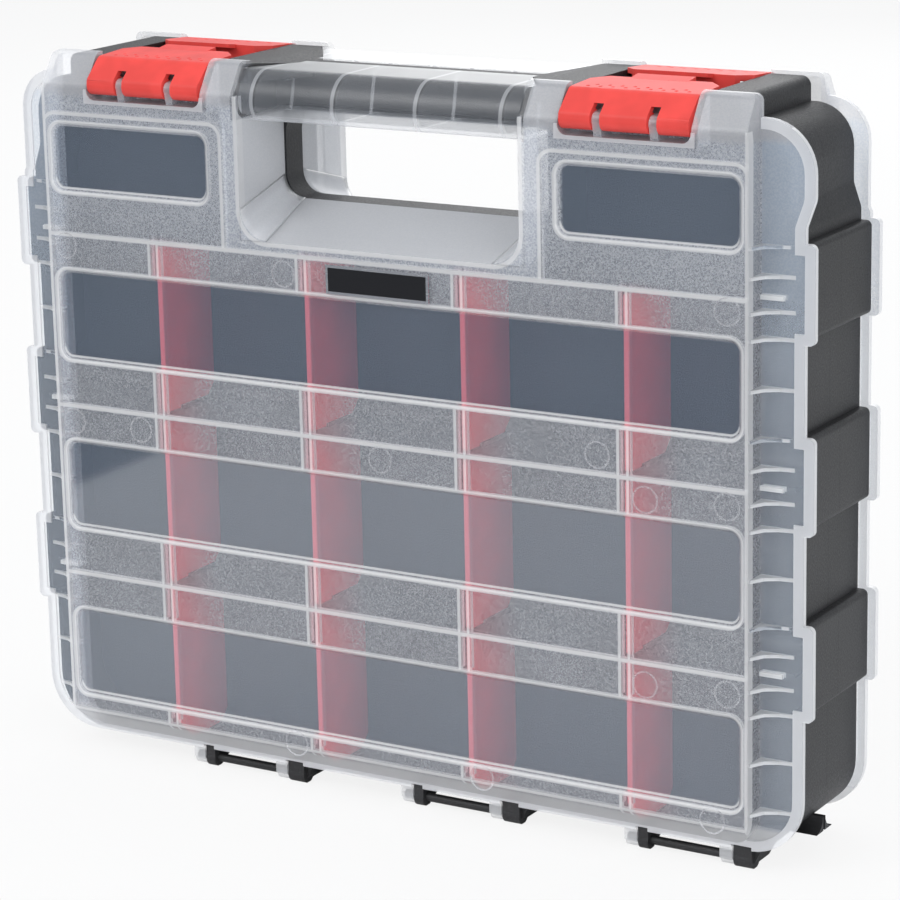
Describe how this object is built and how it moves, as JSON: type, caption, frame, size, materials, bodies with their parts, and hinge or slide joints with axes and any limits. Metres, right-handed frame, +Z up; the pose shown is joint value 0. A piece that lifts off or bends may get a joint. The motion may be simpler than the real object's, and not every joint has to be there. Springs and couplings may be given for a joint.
{
  "type": "double-sided organizer box",
  "caption": "Portable parts case open on both faces, with a black body, clear hinged lids with windows, red latches, removable dividers and a built-in top handle.",
  "frame": {"origin": "centre of the base, at the height of the lowest points of the hinge lugs", "axes": "+X to the right along the case's width, -Y out of the front lid, +Z up towards the handle"},
  "size_m": [0.387, 0.086, 0.3208],
  "materials": {
    "case_black": "fine textured polypropylene, charcoal black",
    "lid_clear": "clear polypropylene, smooth windows and finely frosted bands",
    "latch_red": "bright red, satin",
    "divider_red": "red, slightly translucent",
    "badge_black": "bare glossy black plate",
    "badge_silver": "bright silver foil"
  },
  "bodies": {
    "case": {"case_body": "case_black", "front_divider_1_1": "divider_red", "front_divider_1_2": "divider_red", "front_divider_1_3": "divider_red", "front_divider_1_4": "divider_red", "front_divider_2_1": "divider_red", "front_divider_2_2": "divider_red", "front_divider_2_3": "divider_red", "front_divider_2_4": "divider_red", "front_divider_3_1": "divider_red", "front_divider_3_2": "divider_red", "front_divider_3_3": "divider_red", "front_divider_3_4": "divider_red", "rear_divider_1_1": "divider_red", "rear_divider_1_2": "divider_red", "rear_divider_1_3": "divider_red", "rear_divider_1_4": "divider_red", "rear_divider_2_1": "divider_red", "rear_divider_2_2": "divider_red", "rear_divider_2_3": "divider_red", "rear_divider_2_4": "divider_red", "rear_divider_3_1": "divider_red", "rear_divider_3_2": "divider_red", "rear_divider_3_3": "divider_red", "rear_divider_3_4": "divider_red"},
    "front_cover": {"front_lid": "lid_clear", "badge_plate": "badge_black", "badge_frame": "badge_silver"},
    "rear_cover": {"rear_lid": "lid_clear"},
    "front_left_catch": {"front_left_latch": "latch_red"},
    "front_right_catch": {"front_right_latch": "latch_red"},
    "rear_left_catch": {"rear_left_latch": "latch_red"},
    "rear_right_catch": {"rear_right_latch": "latch_red"}
  },
  "joints": [
    {"name": "front_lid_hinge", "type": "hinge", "parent": "case", "child": "front_cover", "pos_m": [0, -0.027, 0.0037], "axis": [1, 0, 0], "range_deg": [0, 180]},
    {"name": "rear_lid_hinge", "type": "hinge", "parent": "case", "child": "rear_cover", "pos_m": [0, 0.027, 0.0037], "axis": [-1, 0, 0], "range_deg": [0, 180]},
    {"name": "front_left_latch_hinge", "type": "hinge", "parent": "front_cover", "child": "front_left_catch", "pos_m": [-0.1157, -0.0387, 0.307], "axis": [1, 0, 0], "range_deg": [0, 90]},
    {"name": "front_right_latch_hinge", "type": "hinge", "parent": "front_cover", "child": "front_right_catch", "pos_m": [0.1157, -0.0387, 0.307], "axis": [1, 0, 0], "range_deg": [0, 90]},
    {"name": "rear_left_latch_hinge", "type": "hinge", "parent": "rear_cover", "child": "rear_left_catch", "pos_m": [-0.1157, 0.0387, 0.307], "axis": [-1, 0, 0], "range_deg": [0, 90]},
    {"name": "rear_right_latch_hinge", "type": "hinge", "parent": "rear_cover", "child": "rear_right_catch", "pos_m": [0.1157, 0.0387, 0.307], "axis": [-1, 0, 0], "range_deg": [0, 90]}
  ]
}
